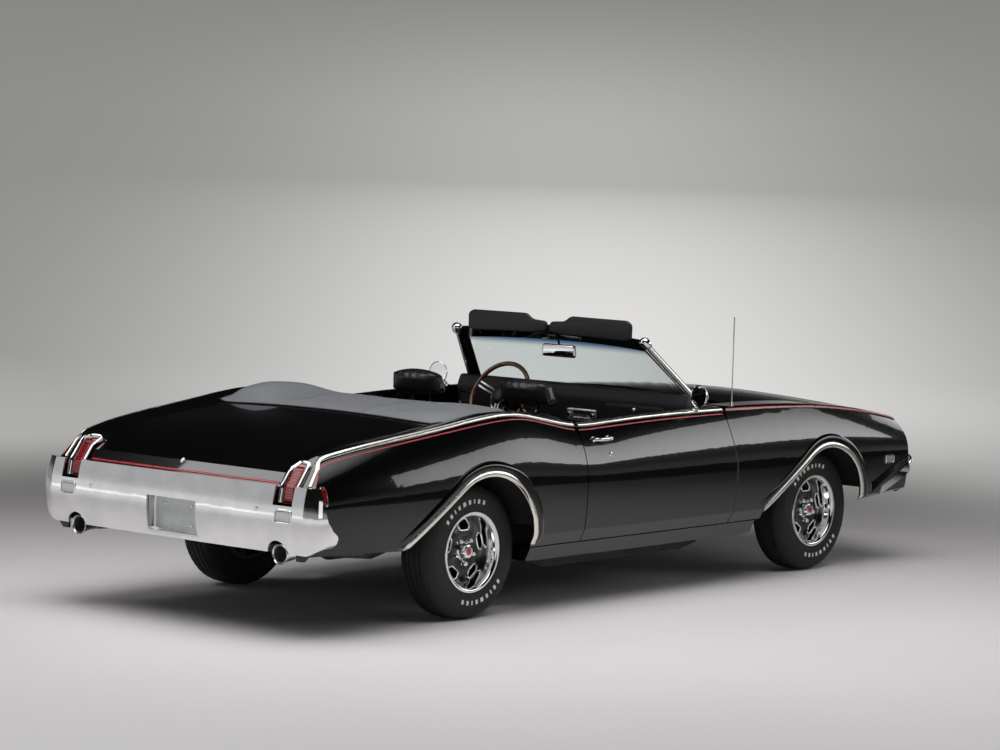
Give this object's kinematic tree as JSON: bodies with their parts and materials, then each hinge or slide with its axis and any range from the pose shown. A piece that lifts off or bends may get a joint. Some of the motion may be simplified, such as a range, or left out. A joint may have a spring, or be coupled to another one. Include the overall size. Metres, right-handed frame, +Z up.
{
  "type": "two-door convertible muscle car",
  "caption": "Black open two-door muscle car with chrome bumpers, folded top under a boot cover, bucket seats and spoked rally wheels; doors, lids, steering and wheels move.",
  "frame": {"origin": "on the ground under the middle of the overall length and width", "axes": "+X forward, +Y to the left side, +Z up"},
  "size_m": [5.128, 1.9332, 1.412],
  "materials": {
    "body_paint": "gloss black enamel, clear coated",
    "chassis_paint": "semi-gloss black chassis paint",
    "chrome": "polished bright plate",
    "vinyl": "black grained vinyl",
    "trim_plastic": "black grained trim",
    "glass": "clear, tinted at the top",
    "red_lens": "red lamp lens",
    "clear_lens": "clear lamp lens",
    "grille_black": "satin black",
    "tyre": "black rubber",
    "wheel_paint": "black with bright edges",
    "iron": "machined and cast",
    "engine_paint": "plain engine enamel",
    "pipe_steel": "aluminised steel",
    "carpet": "black loop carpet",
    "mirror": "silvered"
  },
  "bodies": {
    "body": {"frame_rails": "chassis_paint", "crossmembers": "chassis_paint", "floor_pan": "carpet", "firewall_cowl": "body_paint", "trunk_floor": "chassis_paint", "rocker_panels": "body_paint", "deck_panel": "body_paint", "nose_panel": "body_paint", "tail_panel": "body_paint", "front_bumper": "chrome", "rear_bumper": "chrome", "grille": "grille_black", "headlamps": "clear_lens", "tail_lamps": "red_lens", "marker_lamps": "clear_lens", "antenna": "chrome", "windscreen_frame": "body_paint", "windscreen": "glass", "sun_visors": "vinyl", "interior_mirror": "mirror", "dashboard": "trim_plastic", "steering_column": "trim_plastic", "seat_front_left": "vinyl", "seat_front_right": "vinyl", "rear_seat": "vinyl", "console": "trim_plastic", "rear_side_trim": "vinyl", "top_boot": "vinyl", "engine": "engine_paint", "drivetrain": "iron", "rear_axle": "iron", "front_suspension": "chassis_paint", "rear_suspension": "chassis_paint", "fuel_tank": "pipe_steel", "exhaust": "pipe_steel", "radiator": "chassis_paint", "wheelhouses": "chassis_paint", "fender_right": "body_paint", "fender_left": "body_paint", "quarter_right": "body_paint", "quarter_left": "body_paint"},
    "hood": {"hood": "body_paint"},
    "trunk_lid": {"trunk_lid": "body_paint"},
    "steering_wheel": {"steering_wheel": "trim_plastic"},
    "door_left": {"door_left": "body_paint", "door_fittings_left": "chrome"},
    "knuckle_left": {"knuckle_left": "iron"},
    "wheel_front_left": {"wheel_front_left": "wheel_paint", "tyre_front_left": "tyre"},
    "wheel_rear_left": {"wheel_rear_left": "wheel_paint", "tyre_rear_left": "tyre"},
    "door_right": {"door_right": "body_paint", "door_fittings_right": "chrome"},
    "knuckle_right": {"knuckle_right": "iron"},
    "wheel_front_right": {"wheel_front_right": "wheel_paint", "tyre_front_right": "tyre"},
    "wheel_rear_right": {"wheel_rear_right": "wheel_paint", "tyre_rear_right": "tyre"}
  },
  "joints": [
    {"name": "steer_left", "type": "hinge", "parent": "body", "child": "knuckle_left", "pos_m": [1.481, 0.678, 0.33], "axis": [0, 0, 1], "range_deg": [-33, 33]},
    {"name": "steer_right", "type": "hinge", "parent": "body", "child": "knuckle_right", "pos_m": [1.481, -0.678, 0.33], "axis": [0, 0, 1], "range_deg": [-33, 33]},
    {"name": "steering_wheel_turn", "type": "hinge", "parent": "body", "child": "steering_wheel", "pos_m": [0.2235, 0.365, 0.925], "axis": [-0.8988, 0, 0.4384], "range_deg": [-530, 530]},
    {"name": "wheel_front_left_spin", "type": "hinge", "parent": "knuckle_left", "child": "wheel_front_left", "pos_m": [1.481, 0.7495, 0.33], "axis": [0, 1, 0], "continuous": true},
    {"name": "wheel_front_right_spin", "type": "hinge", "parent": "knuckle_right", "child": "wheel_front_right", "pos_m": [1.481, -0.7495, 0.33], "axis": [0, 1, 0], "continuous": true},
    {"name": "wheel_rear_left_spin", "type": "hinge", "parent": "body", "child": "wheel_rear_left", "pos_m": [-1.364, 0.7495, 0.33], "axis": [0, 1, 0], "continuous": true},
    {"name": "wheel_rear_right_spin", "type": "hinge", "parent": "body", "child": "wheel_rear_right", "pos_m": [-1.364, -0.7495, 0.33], "axis": [0, 1, 0], "continuous": true},
    {"name": "door_left_hinge", "type": "hinge", "parent": "body", "child": "door_left", "pos_m": [0.6485, 0.91, 0.455], "axis": [0, 0, -1], "range_deg": [0, 65]},
    {"name": "door_right_hinge", "type": "hinge", "parent": "body", "child": "door_right", "pos_m": [0.6485, -0.91, 0.455], "axis": [0, 0, 1], "range_deg": [0, 65]},
    {"name": "hood_hinge", "type": "hinge", "parent": "body", "child": "hood", "pos_m": [0.7515, 0.56, 0.936], "axis": [0, -1, 0], "range_deg": [0, 50]},
    {"name": "trunk_lid_hinge", "type": "hinge", "parent": "body", "child": "trunk_lid", "pos_m": [-1.5415, 0.52, 0.872], "axis": [0, 1, 0], "range_deg": [0, 70]}
  ],
  "couplings": [
    {"joint": "steer_right", "follows": "steer_left", "ratio": 1},
    {"joint": "steering_wheel_turn", "follows": "steer_left", "ratio": 16}
  ]
}
